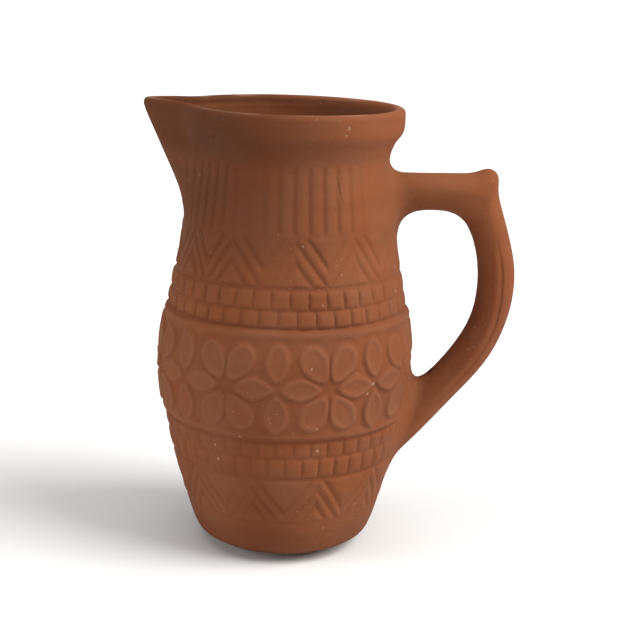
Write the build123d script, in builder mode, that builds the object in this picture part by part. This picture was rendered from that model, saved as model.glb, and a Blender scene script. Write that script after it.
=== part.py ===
"""Terracotta pitcher: a moulded body with a pinched spout, and a separately made handle luted on.

Millimetres, +Z up. The origin is the middle of the flat underside, on the axis of the body.
The handle stands out along +X and the spout along -X.
"""

import os
from math import atan, degrees, sqrt

from build123d import *

os.makedirs("parts", exist_ok=True)

# ---- body, measured on the outside ----
rim_height = 230.0
foot_flat_radius = 30.0       # the flat it stands on
foot_radius = 48.0            # where the turned-under bottom edge meets the wall
foot_height = 16.0
hip_radius, hip_height = 57.0, 46.0
belly_radius, belly_height = 64.4, 98.0
shoulder_radius, shoulder_height = 57.2, 148.0
neck_radius, neck_height = 49.8, 205.0
wall = 5.0
floor = 6.0

# ---- raised flower band round the belly and the grooves that part the other bands ----
band_low, band_high = 73.5, 127.5
band_proud = 1.8
groove_radius = 1.3
groove_heights = (27.0, 51.5, 63.5, 137.0, 147.0)

# ---- collar and rim ----
collar_radius = 56.7
collar_low = 217.0
mouth_radius = 50.8
lip_round = 3.0

# ---- spout, drawn out of the neck and pinched ----
spout_low = 180.0             # where the keel leaves the neck
spout_low_reach = 53.6        # axis to the keel there
spout_lip = 226.0             # the keel is straight up to here, then stands upright
spout_reach = 75.0            # axis to the tip
spout_tip = 6.0               # radius round the tip, seen from above
spout_waist = 22.0            # half width where the flanks draw in
spout_rise = 2.2              # the tip stands this much above the rest of the rim
spout_climb_from = 38.0       # axis to where the rim starts to climb toward the tip
spout_root = 33.0             # axis to where the beak's flanks start, inside the neck

# ---- handle ----
handle_deep = 18.6            # in the plane of the loop
handle_wide = 23.0            # across the loop
edge_round = 4.2              # rounding of the lozenge's four corners
corner_cut = 1.7              # how far that rounding pulls each corner in
arm_height = 187.0            # middle of the level upper arm
thumb_top = 198.4             # top of the thumb rest
thumb_width = 14.0
thumb_taper = 22.0            # degrees its sides lean in
thumb_round = 0.8
arm_start = 44.0              # the arm's centre line starts inside the neck
slip = 1.6                    # layer of slip each handle end is bedded in
slip_margin = 2.0             # how far the slip squeezes out past the handle
upper_joint = (150.0, 215.0)  # heights that hold the upper joint
lower_joint = (20.0, 130.0)   # heights that hold the lower joint


def wall_points(shift, low, high):
    """Points up the side of the body, moved outward by shift, between two heights."""
    stations = [
        (foot_radius, foot_height),
        (hip_radius, hip_height),
        (belly_radius, belly_height),
        (shoulder_radius, shoulder_height),
        (neck_radius, neck_height),
    ]
    with BuildLine(Plane.XZ):
        side = Spline(*stations, tangents=[(0.45, 1), (0, 1)])
        count = 24
        marks = [side @ (i / count) for i in range(count + 1)]
    return [(p.X + shift, p.Z) for p in marks if low <= p.Z <= high]


side_out = wall_points(0, 0, rim_height)
side_slip = wall_points(slip, 0, rim_height)
side_in = wall_points(-wall, foot_height + 4, rim_height)
side_band = wall_points(band_proud, band_low, band_high)


# ---- filled outside of the body, used to trim everything that meets it ----
with BuildPart() as form:
    with BuildSketch(Plane.XZ) as form_outline:
        with BuildLine():
            Line((0, 0), (foot_flat_radius, 0))
            Spline((foot_flat_radius, 0), (43.0, 6.2), side_out[0], tangents=[(1, 0), (0.45, 1)])
            side = Spline(*side_out, tangents=[(0.45, 1), (0, 1)])
            collar = Spline(side @ 1, (53.0, collar_low - 4.5), (collar_radius, collar_low + 4),
                            tangents=[(0, 1), (0, 1)])
            brim = Line(collar @ 1, (collar_radius, rim_height - lip_round))
            lip = JernArc(brim @ 1, (0, 1), lip_round, 90)
            Polyline(lip @ 1, (0, rim_height), (0, 0))
        make_face()
    revolve(axis=Axis.Z)


# ---- spout: a beak lofted from level cuts that lengthen toward the lip ----
def beak_cut(height, reach, tip, root_radius, waist):
    """One level cut: flanks leave the neck, draw in at the waist and close round the tip."""
    root_x = spout_root
    root_y = sqrt(root_radius ** 2 - root_x ** 2)
    waist_x = root_x + 0.45 * (reach - tip - root_x)
    with BuildSketch(Plane.XY.offset(height)) as cut:
        with BuildLine():
            near = Spline((-root_x, root_y), (-waist_x, waist), (-(reach - tip), tip),
                          tangents=[(-root_y, -root_x), (-1, -0.3)])
            ThreePointArc(near @ 1, (-reach, 0), (-(reach - tip), -tip))
            far = Spline((-root_x, -root_y), (-waist_x, -waist), (-(reach - tip), -tip),
                         tangents=[(-root_y, root_x), (-1, 0.3)])
            Line(far @ 0, near @ 0)
        make_face()
    return cut.sketch


def beak_solid(low, low_reach, lip_reach, tip, root_radius, waist):
    with BuildPart() as solid:
        add(beak_cut(low, low_reach, tip, root_radius, waist))
        add(beak_cut(spout_lip, lip_reach, tip, root_radius, waist))
        add(beak_cut(rim_height + 8, lip_reach, tip, root_radius, waist))
        loft(ruled=True)
    return solid.part


neck_inside = neck_radius - wall
lip_climb = degrees(atan(spout_rise / (spout_reach - spout_climb_from)))

with BuildPart() as beak:
    add(beak_solid(spout_low, spout_low_reach, spout_reach, spout_tip, neck_radius - 1.5,
                   spout_waist))
    with Locations(Location((-spout_climb_from, 0, rim_height), (0, lip_climb, 0))):
        Box(140, 140, 20, align=(Align.CENTER, Align.CENTER, Align.MIN), mode=Mode.SUBTRACT)

with BuildPart() as channel:
    add(beak_solid(spout_low, neck_inside + 1.7, spout_reach - wall, spout_tip - 0.7 * wall,
                   neck_inside - 0.5, spout_waist - wall))


# ---- body: wall, foot, raised band, grooves, collar and spout, hollow inside ----
with BuildPart() as body:
    add(form.part)
    add(beak.part)
    with BuildSketch(Plane.XZ) as band:
        with BuildLine():
            face = Spline(*side_band)
            Polyline(face @ 1, (40, (face @ 1).Y + 0.8), (40, (face @ 0).Y - 0.8), face @ 0)
        make_face()
    revolve(axis=Axis.Z)
    with BuildSketch(Plane.XZ) as grooves:
        for height in groove_heights:
            below = [p for p in side_out if p[1] <= height][-1]
            above = [p for p in side_out if p[1] > height][0]
            part_way = (height - below[1]) / (above[1] - below[1])
            radius = below[0] + part_way * (above[0] - below[0])
            with Locations((radius + 0.4, height)):
                Circle(groove_radius)
    revolve(axis=Axis.Z, mode=Mode.SUBTRACT)
    with BuildSketch(Plane.XZ) as hollow:
        with BuildLine():
            Line((0, floor), (foot_flat_radius, floor))
            Spline((foot_flat_radius, floor), (40.0, 10.5), side_in[0],
                   tangents=[(1, 0), (0.45, 1)])
            inside = Spline(*side_in, tangents=[(0.4, 1), (0, 1)])
            throat = Spline(inside @ 1, (mouth_radius, rim_height - 8), tangents=[(0, 1), (0, 1)])
            Polyline(throat @ 1, (mouth_radius, rim_height + 1), (0, rim_height + 1), (0, floor))
        make_face()
    revolve(axis=Axis.Z, mode=Mode.SUBTRACT)
    add(channel.part, mode=Mode.SUBTRACT)

body.part.label = "body"


# ---- body grown by the slip layer, to bed the handle ends ----
with BuildPart() as bed:
    with BuildSketch(Plane.XZ):
        with BuildLine():
            Line((0, 20), (side_slip[1][0], side_slip[1][1]))
            bed_side = Spline(*side_slip[1:])
            Polyline(bed_side @ 1, (0, (bed_side @ 1).Y), (0, 20))
        make_face()
    revolve(axis=Axis.Z)


def loop(extra):
    """Handle swept with its lozenge section, grown by extra on every side."""
    half_deep = handle_deep / 2 + extra + corner_cut
    half_wide = handle_wide / 2 + extra + corner_cut
    with BuildPart() as swept:
        with BuildLine() as path:
            Spline((arm_start, 0, arm_height), (62, 0, arm_height), (80, 0, arm_height - 0.2),
                   (97.6, 0, 177.6), (104.9, 0, 161), (107.7, 0, 143), (104.6, 0, 121.5),
                   (96.6, 0, 103.0), (84.8, 0, 87.2), (68.4, 0, 68.7), (52.0, 0, 50.2),
                   tangents=[(1, 0, 0), (-0.663, 0, -0.749)])
        with BuildSketch(Plane(origin=(arm_start, 0, arm_height), x_dir=(0, 1, 0), z_dir=(1, 0, 0))):
            with BuildLine():
                Polyline((half_wide, 0), (0, half_deep), (-half_wide, 0), (0, -half_deep), close=True)
            lozenge = make_face()
            fillet(lozenge.vertices(), edge_round)
        sweep(path=path.wires()[0])
    return swept.part


# ---- handle: the swept loop with a thumb rest on its outer corner ----
with BuildPart() as thumb_rest:
    with BuildSketch(Plane.XZ):
        with BuildLine():
            Polyline((84, 188), (90, 195.6), (97, thumb_top - 1.2), (100.5, thumb_top),
                     (104.2, thumb_top - 1.4), (106.2, 193), (106.8, 182), (102, 174), close=True)
        make_face()
    extrude(amount=thumb_width / 2, both=True, taper=thumb_taper)
    fillet(thumb_rest.edges(), thumb_round)

with BuildPart() as handle:
    add(loop(0))
    add(thumb_rest.part)
    add(bed.part, mode=Mode.SUBTRACT)
    add(body.part, mode=Mode.SUBTRACT)

handle.part.label = "handle"


# ---- the two beds of slip, each a skin over the body a little wider than the handle end ----
def slip_bed(low, high):
    """The skin of slip under one end of the handle, found between two heights."""
    with BuildPart() as skin:
        add(loop(slip_margin))
        add(bed.part, mode=Mode.INTERSECT)
        add(form.part, mode=Mode.SUBTRACT)
        with BuildSketch(Plane.XY.offset(low)):
            Rectangle(300, 300)
        extrude(amount=high - low, mode=Mode.INTERSECT)
    return skin.part


with BuildPart() as upper_slip:
    add(slip_bed(*upper_joint))
upper_slip.part.label = "upper_slip"

with BuildPart() as lower_slip:
    add(slip_bed(*lower_joint))
    add(body.part, mode=Mode.SUBTRACT)
lower_slip.part.label = "lower_slip"


export_step(body.part, "parts/body.step")
export_step(handle.part, "parts/handle.step")
export_step(upper_slip.part, "parts/upper_slip.step")
export_step(lower_slip.part, "parts/lower_slip.step")
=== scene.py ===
"""Terracotta pitcher with a moulded relief body, a pinched spout and a luted loop handle.

The body is one grid wrapped round the wall: up the outside, over the lip and down the inside.
Its surface is a plain profile plus the collar, the spout and the pressed relief, each a formula in
turn (degrees round the axis, 0 at the front, +90 at the handle) and height (millimetres).
"""

from math import cos, radians, sin

import bpy
import numpy as np
from mathutils import Matrix, Vector


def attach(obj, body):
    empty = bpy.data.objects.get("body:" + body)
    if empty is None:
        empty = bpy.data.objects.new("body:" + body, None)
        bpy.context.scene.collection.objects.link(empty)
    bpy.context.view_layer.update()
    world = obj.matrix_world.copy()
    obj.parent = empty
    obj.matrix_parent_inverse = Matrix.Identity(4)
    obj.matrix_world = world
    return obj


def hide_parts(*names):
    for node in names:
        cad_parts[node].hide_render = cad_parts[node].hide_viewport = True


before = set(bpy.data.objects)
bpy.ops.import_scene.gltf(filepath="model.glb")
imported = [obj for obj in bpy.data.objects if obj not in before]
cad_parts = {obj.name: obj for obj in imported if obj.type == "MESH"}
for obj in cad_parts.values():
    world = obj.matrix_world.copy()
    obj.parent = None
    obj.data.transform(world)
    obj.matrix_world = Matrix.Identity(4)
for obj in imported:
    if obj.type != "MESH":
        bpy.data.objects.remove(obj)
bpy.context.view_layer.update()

MM = 0.001


# ------------------------------------------------------------------ small tools
def smooth(x, low, high):
    t = np.clip((x - low) / (high - low), 0, 1)
    return t * t * (3 - 2 * t)


def soft_max(a, b, k):
    """The larger of a and b, rounded over k where they cross."""
    h = np.clip(0.5 + 0.5 * (a - b) / k, 0, 1)
    return b + (a - b) * h + k * h * (1 - h)


def curve(points, x):
    """A smooth curve through (x, value) points, without overshoot."""
    p = np.array(points, float)
    d = np.diff(p[:, 0])
    slope = np.diff(p[:, 1]) / d
    m = np.zeros(len(p))
    m[0], m[-1] = slope[0], slope[-1]
    same = slope[1:] * slope[:-1] > 0
    w1, w2 = 2 * d[1:] + d[:-1], d[1:] + 2 * d[:-1]
    inner = np.zeros(len(p) - 2)
    inner[same] = (w1 + w2)[same] / (w1[same] / slope[:-1][same] + w2[same] / slope[1:][same])
    m[1:-1] = inner
    x = np.clip(x, p[0, 0], p[-1, 0])
    i = np.clip(np.searchsorted(p[:, 0], x, side="right") - 1, 0, len(d) - 1)
    t = (x - p[i, 0]) / d[i]
    return ((1 + 2 * t) * (1 - t) ** 2 * p[i, 1] + t * (1 - t) ** 2 * d[i] * m[i]
            + t * t * (3 - 2 * t) * p[i + 1, 1] + t * t * (t - 1) * d[i] * m[i + 1])


def around(turn, centre):
    """Degrees from centre, from -180 to 180."""
    return (turn - centre + 180) % 360 - 180


def waves(seed, turn, height, turns, heights, count=7):
    """A slow unevenness from -1 to 1 that closes on itself round the body."""
    r = np.random.default_rng(seed)
    total = 0
    for _ in range(count):
        k = r.integers(1, turns + 1)
        f = r.uniform(-heights, heights)
        total = total + np.cos(np.radians(k * turn) + f * height + r.uniform(0, 6.28))
    return total / count ** 0.5


# ------------------------------------------------------------------ the body's plain form
SIDE = [(0.0, 29.6), (1.5, 32.2), (4.0, 39.0), (8.0, 45.0), (14.0, 47.9), (22.0, 50.5), (32.0, 53.2),
        (44.0, 56.8), (56.0, 59.4), (68.0, 61.4), (84.0, 63.8), (98.0, 64.7), (112.0, 63.7),
        (126.0, 61.4), (140.0, 58.9), (150.0, 57.2), (160.0, 55.6), (170.0, 54.3), (180.0, 52.8),
        (190.0, 51.3), (200.0, 50.1), (206.0, 49.6), (240.0, 49.6)]
INSIDE = [(6.0, 30.0), (7.5, 36.0), (11.0, 40.0), (18.0, 43.6), (32.0, 48.3), (56.0, 54.5),
          (80.0, 58.3), (98.0, 59.3), (112.0, 58.4), (140.0, 53.5), (170.0, 49.0), (190.0, 46.2),
          (203.0, 45.0), (212.0, 46.6), (220.0, 50.2), (227.0, 50.9), (231.0, 50.9)]
KEEL = [(168.0, 54.5), (173.0, 54.4), (180.0, 55.0), (186.0, 56.6), (193.0, 59.4), (206.0, 65.4),
        (216.0, 70.3), (222.0, 73.2), (226.0, 74.6), (229.0, 75.0), (233.0, 75.0)]
RIM, LIP_RISE, INSIDE_FLOOR = 230.0, 2.0, 6.0
SPOUT_AT, HANDLE_AT = -90.0, 90.0                                # turns

# how the collar swells out of the neck: (height over its lower edge, swell)
CRISP = [(0, 0), (3.5, 0.6), (6.5, 1.6), (9.5, 3.0), (12.0, 4.9), (14.5, 6.5), (18.5, 7.2), (27, 7.2)]
GENTLE = [(0, 0), (4, 0.8), (8, 2.3), (12, 4.3), (15.5, 6.1), (18.5, 6.9), (22, 7.2), (30, 7.2)]
COLLAR_LOW = 203.5


def collar_radius(turn, height):
    """The rounded collar; its lower edge sags on both sides of the spout, where the clay was pinched."""
    off = np.abs(around(turn, SPOUT_AT))
    sag = 2.6 * np.exp(-((off - 60) / 15.0) ** 2) - 1.0 * np.exp(-((off - 28) / 16.0) ** 2)
    low = COLLAR_LOW - sag
    crisp, gentle = curve(CRISP, height - low), curve(GENTLE, height - low + 2)
    by_handle = np.exp(-(around(turn, HANDLE_AT) / 42) ** 2)
    swell = gentle + (crisp - gentle) * by_handle
    undercut = 0.8 * np.exp(-((height - low - 1.6) / 2.2) ** 2) * sag.clip(0) / 2.6
    return curve(SIDE, height) + swell - undercut


def outer_radius(turn, height):
    off = np.abs(around(turn, SPOUT_AT))
    round_part = collar_radius(turn, height)
    spread = 15.5 + 5.0 * smooth(200 - height, 0, 30)
    drawn = (curve(KEEL, height) - curve(SIDE, height)).clip(0) * smooth(height, 169, 180)
    stands = drawn * np.exp(-(off / spread) ** 1.6)
    return soft_max(round_part, curve(SIDE, height) + stands, 0.01 + 2.2 * smooth(stands, 0, 3))


def inner_radius(turn, height):
    off = np.abs(around(turn, SPOUT_AT))
    open_to = (curve(KEEL, height) - 5.4 - curve(INSIDE, height)).clip(0) * smooth(height, 176, 190)
    from_middle = np.hypot(off, 4.0) - 4.0
    return curve(INSIDE, height) + open_to * np.exp(-(from_middle / 8.5) ** 1.3)


def wall_radius(turn, height):
    """The plain outside with the slow unevenness of clay smoothed by hand."""
    return outer_radius(turn, height) + 0.22 * waves(21, turn, height, 7, 0.05) * smooth(height, 2, 20)


def lip_height(turn):
    """The rim climbs a little to the spout's tip, and is not quite level."""
    off = np.abs(around(turn, SPOUT_AT))
    return RIM + LIP_RISE * np.exp(-(off / 24.0) ** 2) + 0.15 * waves(3, turn, 0, 5, 0)


# ------------------------------------------------------------------ the pressed relief
def groove(distance, width):
    return np.exp(-(distance / width) ** 2)


def cushion(distance, width, rise):
    """A soft pad that swells away from its grooves."""
    return rise * (1 - np.exp(-distance / width))


def comb(turn, count, phase):
    """Degrees from the nearest of count lines round the body."""
    pitch = 360 / count
    return np.abs((turn - phase + pitch / 2) % pitch - pitch / 2)


def egg(along, across, middle, inner, outer, half, blunt):
    """Millimetres inside an egg-shaped pad: widest at middle, pointed inward, blunt (or not) outward."""
    u = along - middle
    reach = np.where(u < 0, inner, outer)
    p = np.where(u < 0, 1.6, blunt)
    a, b = np.abs(u) / reach + 1e-6, np.abs(across) / half + 1e-6
    size = (a ** p + b ** p) ** (1 / p)
    steep = size ** (1 - p) * np.hypot(a ** (p - 1) / reach, b ** (p - 1) / half)
    return np.clip((1 - size) / steep, -50, half)


FLOWERS, FLOWER_AT, FLOWER_Z = 8, 18.7, 99.6
BAND_LOW, BAND_HIGH = 73.3, 127.6


def flower_relief(turn, height):
    """Eight six-petalled flowers with a leaf above and below each place where two of them touch."""
    radius = 65.5
    pitch = 360 / FLOWERS
    local = (turn - FLOWER_AT + pitch / 2) % pitch - pitch / 2
    x = np.radians(local) * radius
    z = height - FLOWER_Z
    inside = np.full(np.broadcast(x, z).shape, -50.0)
    for angle in range(0, 360, 60):
        c, s = cos(radians(angle)), sin(radians(angle))
        along, across = x * c + z * s, -x * s + z * c
        if angle % 180:
            petal = egg(along, across, 14.8, 11.2, 9.6, 7.5, 2.2)
        else:
            petal = egg(along, across, 14.4, 10.8, 10.4, 6.4, 1.5)
        inside = np.maximum(inside, petal)
    side = np.abs(x) - np.radians(pitch / 2) * radius
    for up in (1, -1):
        inside = np.maximum(inside, egg(up * z, side, 13.2, 10.6, 10.2, 6.8, 1.9))
    rim = smooth(inside, -0.3, 1.7) - 0.50 * smooth(inside, 1.8, 4.8)
    return 1.20 * rim - 0.32 * np.exp(-((inside + 1.5) / 1.6) ** 2)


CHEVRON_RADIUS = 56.5                                            # of the wall that carries them


def chevrons(turn, height, count, phase, slope, apexes):
    """Distance from the nearest of some nested chevrons with the given apexes, and 1 where they fall."""
    pitch = 360 / count
    off = (turn - phase + pitch / 2) % pitch - pitch / 2
    to_mm = np.radians(1) * CHEVRON_RADIUS
    square_on = (1 + (slope / to_mm) ** 2) ** -0.5
    near = np.full(np.broadcast(off, height).shape, 50.0)
    for apex in apexes:
        near = np.minimum(near, np.abs(height - (apex - slope * np.abs(off))) * square_on)
    return near, smooth(off, -1.0, 1.0)


def squares(turn, height, count, rows, soft, rise):
    """Rows of soft square pads, each row (low, high, turn of one groove)."""
    total = 0.0
    for low, high, phase in rows:
        inside = (height > low) & (height <= high)
        u = 1 - comb(turn, count, phase) / (180 / count)
        v = np.abs((height - low) / (high - low) * 2 - 1).clip(0, 1)
        pad = (1 - u ** soft) * (1 - v ** soft)
        total = total + np.where(inside, rise * (pad - 0.25), 0)
    return total


def relief(turn, height):
    """Rise of the pressed pattern above the plain wall, in millimetres."""
    to_mm = np.radians(1) * curve(SIDE, height)
    off_spout = np.abs(around(turn, SPOUT_AT))
    off_handle = np.abs(around(turn, HANDLE_AT))
    fresh = 0.90 + 0.20 * waves(11, turn, height, 6, 0.05) + 0.15 * np.exp(-(off_spout / 55) ** 2)
    fresh = fresh.clip(0.4) * (1 - 0.5 * smooth(40 - off_handle, 0, 22))
    crowded = np.where(off_spout < 57, 57 + (off_spout - 57) * 8 / 7, off_spout)
    slid = SPOUT_AT + np.sign(around(turn, SPOUT_AT)) * crowded

    # reeds on the neck: closer together by the spout, rubbed out in the dent beside it and by the handle
    reed = comb(slid, 45, 2.2) * to_mm
    ends = smooth(height, 171.0, 175.5) * smooth(206.0 - height, 0, 3)
    dent = 1 - 0.92 * np.exp(-((off_spout - 67) / 9.0) ** 2)
    by_handle = smooth(off_handle, 38, 62)
    strong = 1 + 0.2 * np.exp(-((off_spout - 98) / 20) ** 2)
    total = ends * dent * by_handle * strong * (0.16 * smooth(reed, 0.8, 3.0) - 0.56 * groove(reed, 1.3))

    # nested chevrons under the reeds
    zone = smooth(height, 148.0, 149.6) * smooth(172.2 - height, 0, 2.6)
    line, falls = chevrons(slid, height, 11, 3.6, 1.36, (159.6, 169.4, 179.2))
    deep = 0.42 + 0.58 * np.maximum(falls, smooth(75 - off_spout, 0, 20))
    total += zone * deep * (cushion(line, 2.2, 0.5) - 0.60 * groove(line, 1.4))

    # two rows of squares above the flowers, under a sunk line
    total += squares(turn, height, 41, ((137.2, 146.8, 1.2), (128.4, 137.2, 4.6)), 3.6, 1.45)
    total -= 0.55 * groove(height - 147.6, 1.0)

    # the proud band of flowers
    slack = 0.35 * waves(5, turn, 0, 4, 0)
    band = smooth(height, BAND_LOW - 0.9 + slack, BAND_LOW + 1.3 + slack) * smooth(
        BAND_HIGH + 0.9 + slack - height, 0, 2.4)
    swell = 1.15 + 0.65 * smooth(height, 121.5, 126.0) + 0.45 * (1 - smooth(height, 75.5, 79.0))
    flowers = flower_relief(turn, height) * smooth(height, 74, 77) * smooth(126 - height, 0, 3)
    total += band * flowers
    total -= 0.4 * groove(height - BAND_HIGH - 1.3, 1.0) + 0.4 * groove(height - BAND_LOW + 1.4, 1.0)

    # two rows of squares below them
    total += squares(turn, height, 45, ((63.2, 72.2, 4.2), (52.0, 63.2, 0.6)), 3.2, 1.15)
    total -= 0.35 * groove(height - 51.4, 1.1)

    # nested chevrons over the foot, on a zone that stands a little proud of it
    zone = smooth(height, 25.6, 28.4) * smooth(51.4 - height, 0, 2.4)
    line, falls = chevrons(turn, height, 11, 17.2, 1.40, (36.4, 45.6, 54.8))
    deep = 0.50 + 0.50 * np.maximum(falls, smooth(75 - off_spout, 0, 20))
    total += zone * (deep * (cushion(line, 2.6, 0.5) - 0.60 * groove(line, 1.55)) + 0.15)
    total -= 0.30 * groove(height - 25.6, 1.3) * (0.4 + 0.9 * smooth(120 - off_spout, 0, 60))

    # the collar is undercut where the spout's flanks leave it
    beside_spout = np.exp(-((off_spout - 60) / 18) ** 2)
    total -= 0.6 * groove(height - 205.4 + 0.02 * (off_spout - 70), 1.6) * beside_spout

    # a scratch on the neck
    scratch = (around(turn, 26.7) - 0.5 * ((198.5 - height).clip(0) / 4) ** 1.5) * to_mm
    scored = smooth(height, 185, 188) * smooth(198.5 - height, 0, 1)
    return total * fresh + band * swell - 0.28 * groove(scratch, 0.5) * scored


# small chips: (turn, height, size)
CHIPS = [(28.4, 224.0, 0.9), (27.2, 220.6, 0.6), (11, 110.5, 0.7), (14, 80.0, 0.8), (38, 95.0, 0.8),
         (41, 99.5, 1.0), (-34, 66.5, 0.8), (15.5, 67.5, 1.0), (-20, 74.0, 0.7), (7, 168.0, 0.7),
         (-33, 59.0, 0.8), (-70, 60.0, 0.9), (66, 141.0, 0.8), (70, 152.0, 0.7), (-118, 221.0, 0.9),
         (150, 128.0, 0.9), (171, 96.0, 0.8), (-142, 72.0, 0.9), (128, 51.0, 0.8), (-165, 148.0, 0.7)]


def chips(turn, height):
    """1 in the middle of each small chip, falling to 0 round it."""
    radius = 60
    total = 0.0
    for at, up, size in CHIPS:
        across = np.radians(around(turn, at)) * radius
        total = total + np.exp(-(np.hypot(across, height - up) / size) ** 2)
    return total


def shade_and_tone(turn, height):
    """How light the clay is: painted shade on the spout's side, above all on the neck and collar, and
    towards the foot, with a little random unevenness of colour.
    """
    off_spout = np.abs(around(turn, SPOUT_AT))
    # painted shade: darker on the spout's side, on the neck and collar under the spout, and towards the
    # foot
    by_spout = 0.17 * smooth(125 - off_spout, 0, 60)
    neck = 0.24 * smooth(height, 132, 190) * smooth(118 - off_spout, 0, 50)
    collar = 0.10 * smooth(height, 203, 212) * smooth(150 - off_spout, 0, 60)
    foot = 0.12 * (1 - smooth(height, 10, 36))
    return 1 - by_spout - neck - collar - foot + 0.06 * waves(51, turn, height, 5, 0.03)


# ------------------------------------------------------------------ the handle's plain form
# outer edge (reach, height) and inner edge (reach, height) of the loop, from the neck to the belly
LOOP = [(44, 197.0, 44, 178.2), (56, 197.0, 56, 178.2), (68, 197.0, 68, 178.2), (79, 197.2, 76.5, 178.2),
        (88, 197.4, 83, 177.0), (95.2, 198.6, 87.4, 174.6), (100.8, 200.1, 90.2, 171.9),
        (105.0, 197.8, 91.7, 169.6), (106.0, 190.5, 93.3, 166.4), (107.6, 182.6, 94.4, 163.8),
        (110.8, 172.8, 95.6, 160.0), (114.0, 162.2, 96.8, 155.2), (116.9, 148.0, 98.0, 146.0),
        (117.0, 136.0, 98.0, 137.5), (115.2, 124.5, 96.8, 128.0), (107.0, 103.2, 90.6, 112.4),
        (90.6, 81.6, 76.8, 93.9), (71.2, 59.2, 57.4, 75.0), (52.0, 38.9, 37.0, 55.5)]
HALF_WIDE = 11.2


def handle_mask(x, y, z):
    """1 on the plain wall, 0 where the clay was smoothed over at the handle's two roots."""
    top = np.hypot(y / 21.0, (z - 184) / 21.0)
    low = np.hypot(y / 22.0, (z - 70) / 33.0)
    front = smooth(x, 20, 34)
    return 1 - front * (1 - smooth(np.minimum(top, low), 0.85, 1.3))


# ------------------------------------------------------------------ meshes
def grid_mesh(name, points, ring=False, cap_start=None, cap_end=None):
    """A mesh from rows of points, each row closed on itself; caps fan to one point, a ring joins up."""
    rows, cols = points.shape[:2]
    verts = points.reshape(-1, 3)
    i, j = np.meshgrid(np.arange(rows if ring else rows - 1), np.arange(cols), indexing="ij")
    next_i, next_j = (i + 1) % rows, (j + 1) % cols
    quads = np.stack([i * cols + j, i * cols + next_j, next_i * cols + next_j, next_i * cols + j], -1)
    quads = quads.reshape(-1, 4)
    faces = quads.tolist()
    extra = []
    if cap_start is not None:
        n = len(verts) + len(extra)
        extra.append(cap_start)
        faces += [[n, (k + 1) % cols, k] for k in range(cols)]
    if cap_end is not None:
        n = len(verts) + len(extra)
        extra.append(cap_end)
        last = (rows - 1) * cols
        faces += [[n, last + k, last + (k + 1) % cols] for k in range(cols)]
    if extra:
        verts = np.vstack([verts, extra])
    mesh = bpy.data.meshes.new(name)
    mesh.from_pydata((verts * MM).tolist(), [], faces)
    mesh.validate()
    mesh.shade_smooth()
    obj = bpy.data.objects.new(name, mesh)
    bpy.context.scene.collection.objects.link(obj)
    return obj


def put_attribute(obj, name, values):
    a = obj.data.attributes.new(name, "FLOAT", "POINT")
    full = np.zeros(len(obj.data.vertices), np.float32)
    flat = np.asarray(values, np.float32).ravel()
    full[:len(flat)] = flat
    a.data.foreach_set("value", full)


# painted shade: darker clay colour on the underside and inside floor, and on the inside walls
UNDER_PAINTED_SHADE, INSIDE_PAINTED_SHADE = 0.85, 0.78
# painted shade: the inside is given a sunk rise so that the clay colour darkens there
INSIDE_RISE_FOR_SHADE = -0.2                                                      # the inside counts as a little sunk
CHIP_DEEP = 0.35
LIP_ROUND = 3.2


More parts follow.
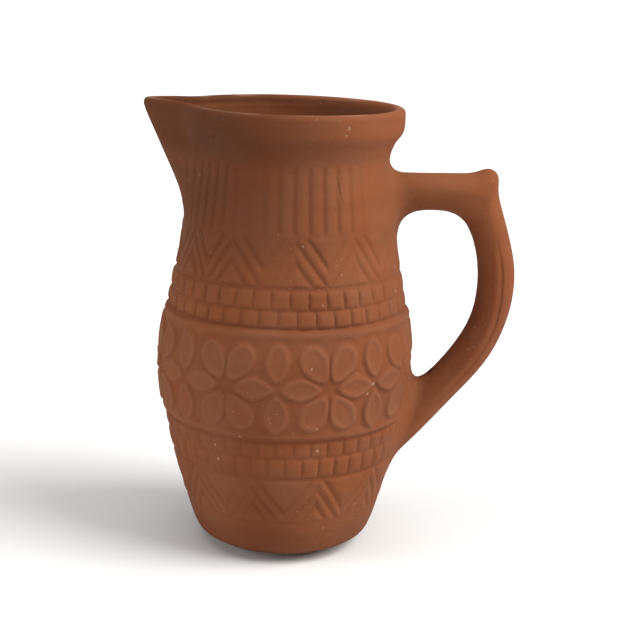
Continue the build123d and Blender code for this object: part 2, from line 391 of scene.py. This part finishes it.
def make_body():
    """The body as level rows of points: underside, outside, over the lip, inside and floor."""
    cols = 1080
    step = 0.55
    turn = np.linspace(-180, 180, cols, endpoint=False)[None, :]
    east, south = np.sin(np.radians(turn)), -np.cos(np.radians(turn))
    lip = lip_height(turn)
    rows, rises, tones, pales = [], [], [], []

    def add_row(radius, height, rise, shade, pale):
        rows.append(np.stack(np.broadcast_arrays(radius * east, radius * south, height), -1)[0])
        for values, value in ((rises, rise), (tones, shade), (pales, pale)):
            values.append(np.broadcast_to(value, turn.shape)[0])

    for radius in np.linspace(4, 30, 8)[:-1]:
        add_row(radius, 0.0, 0.0, UNDER_PAINTED_SHADE, 0.0)

    # round the turned-under edge, then up the outside to below the lip
    edge = np.concatenate([np.linspace(0, 1.2, 4), np.linspace(1.9, 25, 26)])
    for h in np.concatenate([edge, np.arange(25.6, 209, step), np.arange(209.6, 226.5, 1.0)]):
        height = np.full_like(turn, h)
        radius = wall_radius(turn, height)
        rise = relief(turn, height) if 20 < h < 212 else 0 * turn
        on_spout = np.exp(-(np.abs(around(turn, SPOUT_AT)) / 16.0) ** 2) * smooth(height, 176, 190)
        rise = rise * handle_mask(radius * east, radius * south, height) * (1 - on_spout)
        chipped = chips(turn, height)
        lifted = height + (lip - RIM) * smooth(height, 200, 226)
        add_row(radius + rise - CHIP_DEEP * chipped, lifted, rise, shade_and_tone(turn, height), chipped)

    # over the lip, from the outer side round the top to the inner side
    outer, inner = wall_radius(turn, 227.0), inner_radius(turn, 227.0)
    # painted highlight along the lip's crest, broken into patches
    lip_highlight = (0.38 + 0.18 * waves(61, turn, 0, 14, 0)).clip(0, 1)
    for t in np.linspace(0, 1, 17):
        up, share = np.sin(np.pi * t), 0.5 - 0.5 * np.cos(np.pi * t)
        height = lip - LIP_ROUND + LIP_ROUND * up ** 0.8 - 0.35 * up * share
        add_row(outer - (outer - inner) * share, height, 0.25 * up, shade_and_tone(turn, 228), lip_highlight * up ** 2)

    # down the inside, with faint throwing rings, to the floor
    for h in np.concatenate([np.arange(225.0, 180, -1.4), np.arange(180, 12, -4.0), [10, 8, 6.8, 6.2]]):
        rings = 0.25 * waves(31, 0 * turn, h, 1, 0.5) + 0.12 * np.sin(h * 1.9)
        lifted = h + (lip - RIM) * smooth(h, 205, 226)
        add_row(inner_radius(turn, h) + rings, lifted, INSIDE_RISE_FOR_SHADE, INSIDE_PAINTED_SHADE, 0.0)
    for radius in (26, 15, 4):
        add_row(radius, INSIDE_FLOOR, INSIDE_RISE_FOR_SHADE, UNDER_PAINTED_SHADE, 0.0)

    obj = grid_mesh("pitcher_body", np.stack(rows), cap_start=(0, 0, 0), cap_end=(0, 0, INSIDE_FLOOR))
    for name, values in (("rise", rises), ("shade_and_tone", tones), ("pale", pales)):
        put_attribute(obj, name, np.stack(values))
    return obj


def spline(at, values, fine):
    """A natural cubic spline through values, read at the places fine."""
    n, h = len(at), np.diff(at)
    m, rhs = np.eye(n), np.zeros((n, values.shape[1]))
    for k in range(1, n - 1):
        m[k, k - 1:k + 2] = h[k - 1], 2 * (h[k - 1] + h[k]), h[k]
        rhs[k] = 6 * ((values[k + 1] - values[k]) / h[k] - (values[k] - values[k - 1]) / h[k - 1])
    c = np.linalg.solve(m, rhs)
    i = np.clip(np.searchsorted(at, fine) - 1, 0, n - 2)
    a, b, h = (at[i + 1] - fine)[:, None], (fine - at[i])[:, None], h[i][:, None]
    a, b = a / h, b / h
    bent = (a ** 3 - a) * c[i] + (b ** 3 - b) * c[i + 1]
    return a * values[i] + b * values[i + 1] + bent * h ** 2 / 6


def unit(v):
    return v / np.linalg.norm(v, axis=-1, keepdims=True)


def loop_surface(rows, cols):
    """The handle's skin as rows of points round its section, running on into the wall at both ends."""
    edges = np.array(LOOP, float)
    middle = (edges[:, :2] + edges[:, 2:]) / 2
    at = np.concatenate([[0], np.cumsum(np.hypot(*np.diff(middle, axis=0).T))])
    fine = np.linspace(0, at[-1], rows)
    line = spline(at, edges, fine)
    outer, inner = line[:, None, :2], line[:, None, 2:]
    t = fine[:, None] / at[-1]
    a = np.linspace(0, 2 * np.pi, cols, endpoint=False)[None, :]
    c, s = np.cos(a), np.sin(a)

    rounded = 1 - smooth(t, 0.24, 0.42)                          # the arm is round, the grip a lozenge
    power = np.where(c > 0, 1.75, 1.9) + rounded * np.where(c > 0, 0.40, 0.25)
    size = (np.abs(c) ** power + np.abs(s) ** power) ** (-1 / power)
    ridge = 0.06 + 0.16 * smooth(t, 0.30, 0.50)                  # its side ridge sits outside the middle
    tip = np.exp(-((outer[..., 0] - 99.5) / 6.5) ** 2 - ((outer[..., 1] - 197) / 8.0) ** 2)
    plain = 1 - 0.34 * tip                                       # the rest is the thumb rest, narrower
    swept = size * c
    pinched = plain * swept + (1 - plain) * np.sign(swept) * np.abs(swept) ** 4
    v = ridge + np.where(c > 0, (1 - ridge) * pinched, (1 + ridge) * swept)
    v = (v + 1) / 2

    past = v - 0.60 - 0.05 * smooth(t, 0.45, 0.6)                # a crease runs beside it down the grip
    crease = np.where(past < 0, np.exp(-(past / 0.085) ** 2), np.exp(-(past / 0.030) ** 2))
    bead = np.exp(-((past + 0.17) / 0.10) ** 2)
    worked = smooth(t, 0.33, 0.42) * smooth(0.84 - t, 0, 0.16)
    uneven = 0.18 * np.cos(3 * a + 9 * t) * np.sin(23 * t)
    y = (HALF_WIDE + uneven) * size * s + np.sign(s) * worked * (0.45 * bead - 0.60 * crease) * np.abs(s)
    x = inner[..., 0] + (outer[..., 0] - inner[..., 0]) * v
    z = inner[..., 1] + (outer[..., 1] - inner[..., 1]) * v
    return np.stack(np.broadcast_arrays(x, y, z), -1), c, s


def wall_gap(p):
    turn = np.degrees(np.arctan2(p[..., 0], -p[..., 1]))
    return np.hypot(p[..., 0], p[..., 1]) - wall_radius(turn, p[..., 2])


def onto_wall(p, gap):
    """The same points moved level, to stand gap outside the wall."""
    turn = np.arctan2(p[..., 0], -p[..., 1])
    r = wall_radius(np.degrees(turn), p[..., 2]) + gap
    return np.stack([r * np.sin(turn), -r * np.cos(turn), p[..., 2]], -1)


def paint(obj):
    """The body's painted shade and random tone, carried on over a piece of the handle."""
    where = np.array([v.co for v in obj.data.vertices]) / MM
    turn = np.degrees(np.arctan2(where[:, 0], -where[:, 1]))
    put_attribute(obj, "rise", np.zeros(len(where)))
    put_attribute(obj, "shade_and_tone", shade_and_tone(turn, where[:, 2]))
    put_attribute(obj, "pale", np.zeros(len(where)))


def make_handle():
    """The loop, and the two fillets of slip that blend its ends into the wall."""
    rows, cols = ((460, 168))
    skin, c, s = loop_surface(rows, cols)
    length = np.zeros(skin.shape[:2])
    length[1:] = np.cumsum(np.linalg.norm(np.diff(skin, axis=0), axis=-1), axis=0)
    normal = unit(np.cross(np.gradient(skin, axis=0), np.roll(skin, -1, 1) - np.roll(skin, 1, 1)))
    clear = wall_gap(skin) > 0
    k = np.arange(cols)

    def read(table, at):
        """Rows of a table at given lengths along each line of the skin."""
        return np.stack([[np.interp(at[:, j], length[:, j], table[:, j, n]) for j in k]
                         for n in range(3)]).transpose(2, 1, 0)

    def where_it_meets(step):
        """Length along each line of the skin where it meets the wall, from one end."""
        i = np.argmax(clear, 0) if step > 0 else rows - 1 - np.argmax(clear[::-1], 0)
        near, far = wall_gap(skin[i, k]), wall_gap(skin[i - step, k])
        f = near / (near - far)
        return length[i, k] * (1 - f) + length[i - step, k] * f

    def joint(name, meets, step, blend):
        corner = read(skin, meets)[0]
        out = read(normal, meets)[0]
        slope = (wall_gap(corner + [0, 0, 0.5]) - wall_gap(corner - [0, 0, 0.5]))[:, None]
        level = unit(corner * [1, 1, 0])
        facing = unit(np.concatenate([level[:, :2], slope], -1))
        down = unit(out - (out * facing).sum(-1, keepdims=True) * facing)
        reach = blend.T
        start = read(skin, meets + step * blend)[0]
        before = read(skin, meets + step * (blend - 0.5))[0]
        bend = start + unit(before - start) * reach
        end = corner + down * reach
        layers = [read(skin, meets + step * (blend + more))[0] - out * sunk
                  for more, sunk in ((4.0, 0.5), (2.0, 0.12))]
        for b in np.linspace(0, 1, 20):
            p = start * (1 - b) ** 2 + bend * 2 * b * (1 - b) + end * b ** 2
            plane = ((p - corner) * facing).sum(-1)
            layers.append(p * (1 - b ** 2) + onto_wall(p, plane) * b ** 2)
        layers += [onto_wall(end + down * more, -sunk) for more, sunk in ((1.5, 0.12), (3.0, 0.5))]
        layers.append(onto_wall(corner - out * 2.0, -2.0))
        points = np.stack(layers if step < 0 else layers[::-1])
        piece = grid_mesh(name, points, ring=True)
        paint(piece)
        return piece

    top, foot = where_it_meets(1)[None, :], where_it_meets(-1)[None, :]
    upward, inward, side = np.clip(c, 0, 1) ** 2, np.clip(-c, 0, 1) ** 2, s ** 2
    joints = [joint("joint_at_neck", top, 1, 7.5 * upward + 18.0 * inward + 11.5 * side),
              joint("joint_at_belly", foot, -1, 8.0 * upward + 21.5 * inward + 14.0 * side)]

    share = np.linspace(0, 1, rows)[:, None]
    points = read(skin, (top - 2.0) * (1 - share) + (foot + 2.0) * share)
    caps = [onto_wall(ring.mean(0), -2.6) for ring in (points[0], points[-1])]
    loop = grid_mesh("handle_loop", points, cap_start=caps[0], cap_end=caps[1])
    paint(loop)
    return loop, joints


body = make_body()
handle, (neck_joint, belly_joint) = make_handle()


# ------------------------------------------------------------------ materials
def node(tree, kind, **settings):
    n = tree.nodes.new(kind)
    for key, value in settings.items():
        if hasattr(n, key):
            setattr(n, key, value)
        else:
            n.inputs[key].default_value = value
    return n


def ramp(tree, source, stops):
    n = tree.nodes.new("ShaderNodeValToRGB")
    while len(n.color_ramp.elements) < len(stops):
        n.color_ramp.elements.new(0.5)
    for e, (at, colour) in zip(n.color_ramp.elements, stops):
        e.position = at
        e.color = (*colour, 1)
    tree.links.new(source, n.inputs["Fac"])
    return n.outputs["Color"]


def mixed(tree, factor, a, b, blend="MIX"):
    n = tree.nodes.new("ShaderNodeMix")
    n.data_type = "RGBA"
    n.blend_type = blend
    for socket, value in ((n.inputs[0], factor), (n.inputs[6], a), (n.inputs[7], b)):
        if isinstance(value, (int, float)):
            socket.default_value = value
        elif isinstance(value, tuple):
            socket.default_value = (*value, 1)
        else:
            tree.links.new(value, socket)
    return n.outputs[2]


CLAY = (0.34, (0.171, 0.051, 0.0200)), (0.50, (0.192, 0.0580, 0.0210)), (0.68, (0.213, 0.0670, 0.0240))
ASHY, DUST_AND_HIGHLIGHT, WORN_AND_HIGHLIGHT = (0.190, 0.073, 0.037), (0.198, 0.078, 0.040), (0.40, 0.27, 0.19)
SPECK, PIT_SHADE, SHADE = (0.36, 0.24, 0.17), (0.05, 0.018, 0.01), (0.90, 0.86, 0.82)
BLACK, GREY, WHITE = (0, 0, 0), (0.5, 0.5, 0.5), (1, 1, 1)


def terracotta(name, painted_lift=1.0):
    """Matt fired clay: ashy patches, streaks, painted shade in hollows and from the shade attribute, dust
    with a painted highlight on what stands proud, specks, painted shade in pits, paler chips with a
    painted highlight on the lip, a fine grain.
    """
    m = bpy.data.materials.new(name)
    m.use_nodes = True
    t = m.node_tree
    shader = t.nodes["Principled BSDF"]
    place = node(t, "ShaderNodeTexCoord").outputs["Object"]

    def noise(scale, detail=4, rough=0.55, stretch=None):
        source = place
        if stretch:
            squash = node(t, "ShaderNodeMapping")
            squash.inputs["Scale"].default_value = stretch
            t.links.new(place, squash.inputs["Vector"])
            source = squash.outputs["Vector"]
        n = node(t, "ShaderNodeTexNoise", Scale=scale, Detail=detail, Roughness=rough)
        t.links.new(source, n.inputs["Vector"])
        return n.outputs["Fac"]

    def attribute(name):
        return node(t, "ShaderNodeAttribute", attribute_name=name).outputs["Fac"]

    def level(source, start, end, low=0.0, high=1.0):
        n = node(t, "ShaderNodeMapRange")
        for socket, value in (("From Min", start), ("From Max", end), ("To Min", low), ("To Max", high)):
            n.inputs[socket].default_value = value
        t.links.new(source, n.inputs["Value"])
        return n.outputs["Result"]

    def lifted(colour):
        return tuple(channel * painted_lift for channel in colour)

    base = ramp(t, noise(14, 3), [(at, lifted(colour)) for at, colour in CLAY])
    ashy = mixed(t, 0.60, BLACK, ramp(t, noise(34, 4, 0.6), [(0.42, BLACK), (0.68, WHITE)]))
    base = mixed(t, ashy, base, lifted(ASHY))
    streaks = level(noise(30, 4, 0.6, (0.35, 0.35, 2.6)), 0.3, 0.7, 0.90, 1.08)
    base = mixed(t, 1.0, base, streaks, "MULTIPLY")
    # painted shade: the clay colour is multiplied by the shade-and-tone attribute
    base = mixed(t, 1.0, base, attribute("shade_and_tone"), "MULTIPLY")

    # painted shade: the clay colour darkens where the relief sinks into grooves and hollows, and inside
    # the pitcher
    sunk = level(attribute("rise"), 0.25, -0.6)
    base = mixed(t, 1.0, base, mixed(t, sunk, WHITE, SHADE), "MULTIPLY")
    # lighter on what stands proud: dust and a painted highlight
    dust_and_highlight = level(attribute("rise"), 1.2, 2.6, 0.0, 0.55)
    base = mixed(t, dust_and_highlight, base, lifted(DUST_AND_HIGHLIGHT))

    clusters = ramp(t, noise(22, 2), [(0.48, BLACK), (0.62, WHITE)])
    specks = ramp(t, noise(620, 2, 0.5), [(0.69, BLACK), (0.75, GREY)])
    base = mixed(t, mixed(t, 1.0, specks, clusters, "MULTIPLY"), base, SPECK)
    # chips show paler clay; on the lip's crest the same pale colour is a painted highlight
    base = mixed(t, level(attribute("pale"), 0.25, 0.9, 0.0, 0.55), base, WORN_AND_HIGHLIGHT)
    # painted shade: dark specks stand for the shade inside small pits
    pit_shade = ramp(t, noise(520, 2, 0.5), [(0.25, (0.4, 0.4, 0.4)), (0.30, BLACK)])
    base = mixed(t, pit_shade, base, PIT_SHADE)
    t.links.new(base, shader.inputs["Base Color"])

    shader.inputs["Roughness"].default_value = 0.86
    shader.inputs["Specular IOR Level"].default_value = 0.14

    grain = node(t, "ShaderNodeMath", operation="ADD")
    t.links.new(noise(900, 5, 0.65), grain.inputs[0])
    rubbed = node(t, "ShaderNodeMath", operation="MULTIPLY")
    t.links.new(noise(130, 4, 0.6), rubbed.inputs[0])
    rubbed.inputs[1].default_value = 1.6
    t.links.new(rubbed.outputs[0], grain.inputs[1])
    bump = node(t, "ShaderNodeBump", Strength=0.35, Distance=0.0006)
    t.links.new(grain.outputs[0], bump.inputs["Height"])
    t.links.new(bump.outputs["Normal"], shader.inputs["Normal"])
    return m


clay = terracotta("terracotta_body")
# painted light: the handle's clay is a copy painted 6% lighter than the body's
clay_handle = terracotta("terracotta_handle", 1.06)
clay_slip = terracotta("terracotta_slip")
for piece, stands_for, slot, material in ((body, "body", "body_clay", clay),
                                          (handle, "handle", "handle_clay", clay_handle),
                                          (neck_joint, "upper_slip", "slip", clay_slip),
                                          (belly_joint, "lower_slip", "slip", clay_slip)):
    piece.data.materials.append(material)
    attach(piece, "root")
    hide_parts(stands_for)


# ------------------------------------------------------------------ floor, light and camera
def plain(name, colour, rough=0.9):
    m = bpy.data.materials.new(name)
    m.use_nodes = True
    m.node_tree.nodes["Principled BSDF"].inputs["Base Color"].default_value = (*colour, 1)
    m.node_tree.nodes["Principled BSDF"].inputs["Roughness"].default_value = rough
    return m


bpy.ops.mesh.primitive_plane_add(size=200, location=(0, 0, 0))
floor = bpy.context.object
floor.name = "floor"
floor.data.materials.append(plain("floor_paper", (0.72, 0.72, 0.72)))

# the room: white all round the horizon, dimmer overhead
world = bpy.data.worlds.new("studio")
bpy.context.scene.world = world
world.use_nodes = True
sky = world.node_tree
split = node(sky, "ShaderNodeSeparateXYZ")
sky.links.new(node(sky, "ShaderNodeTexCoord").outputs["Generated"], split.inputs[0])
dimmer = node(sky, "ShaderNodeMapRange", interpolation_type="SMOOTHSTEP")
for socket, value in (("From Min", 0.16), ("From Max", 0.32), ("To Min", 1.0), ("To Max", 0.15)):
    dimmer.inputs[socket].default_value = value
sky.links.new(split.outputs["Z"], dimmer.inputs["Value"])
sky.links.new(dimmer.outputs["Result"], sky.nodes["Background"].inputs["Strength"])
sky.nodes["Background"].inputs["Color"].default_value = (1.0, 1.0, 1.0, 1)


def far_light(name, towards, strength, spread, colour):
    """A broad soft light a long way off, so that it falls evenly on object and floor."""
    data = bpy.data.lights.new(name, "SUN")
    data.energy = strength
    data.angle = radians(spread)
    data.color = colour
    obj = bpy.data.objects.new(name, data)
    obj.rotation_euler = Vector(towards).to_track_quat("Z", "Y").to_euler()
    bpy.context.scene.collection.objects.link(obj)


far_light("key", (0.695, -0.240, 0.678), strength=3.9, spread=40, colour=(1.0, 0.985, 0.95))
far_light("fill", (-0.883, -0.321, 0.342), strength=1.3, spread=30, colour=(1.0, 0.98, 0.96))
far_light("top", (0.0, -0.10, 1.0), strength=1.6, spread=70, colour=(1.0, 1.0, 1.0))

camera = bpy.data.objects.new("camera", bpy.data.cameras.new("camera"))
bpy.context.scene.collection.objects.link(camera)
bpy.context.scene.camera = camera
camera.data.lens = 79.26
camera.data.sensor_width = 36
camera.data.clip_start, camera.data.clip_end = 0.05, 300


def aim(at, turn, down, roll):
    """Stands the camera at a point, looking along +Y turned right, tipped down and rolled (radians)."""
    right = Vector((cos(turn), -sin(turn), 0))
    ahead = Vector((sin(turn), cos(turn), 0))
    look = ahead * cos(down) - Vector((0, 0, sin(down)))
    over = ahead * sin(down) + Vector((0, 0, cos(down)))
    across = right * cos(roll) - over * sin(roll)
    upward = right * sin(roll) + over * cos(roll)
    m = Matrix((across, upward, -look)).transposed().to_4x4()
    m.translation = at
    camera.matrix_world = m


aim((-0.0003, -0.7121, 0.2979), turn=0.02447, down=0.24661, roll=-0.0310)

scene = bpy.context.scene
scene.view_settings.view_transform = "Standard"
scene.view_settings.look = "None"
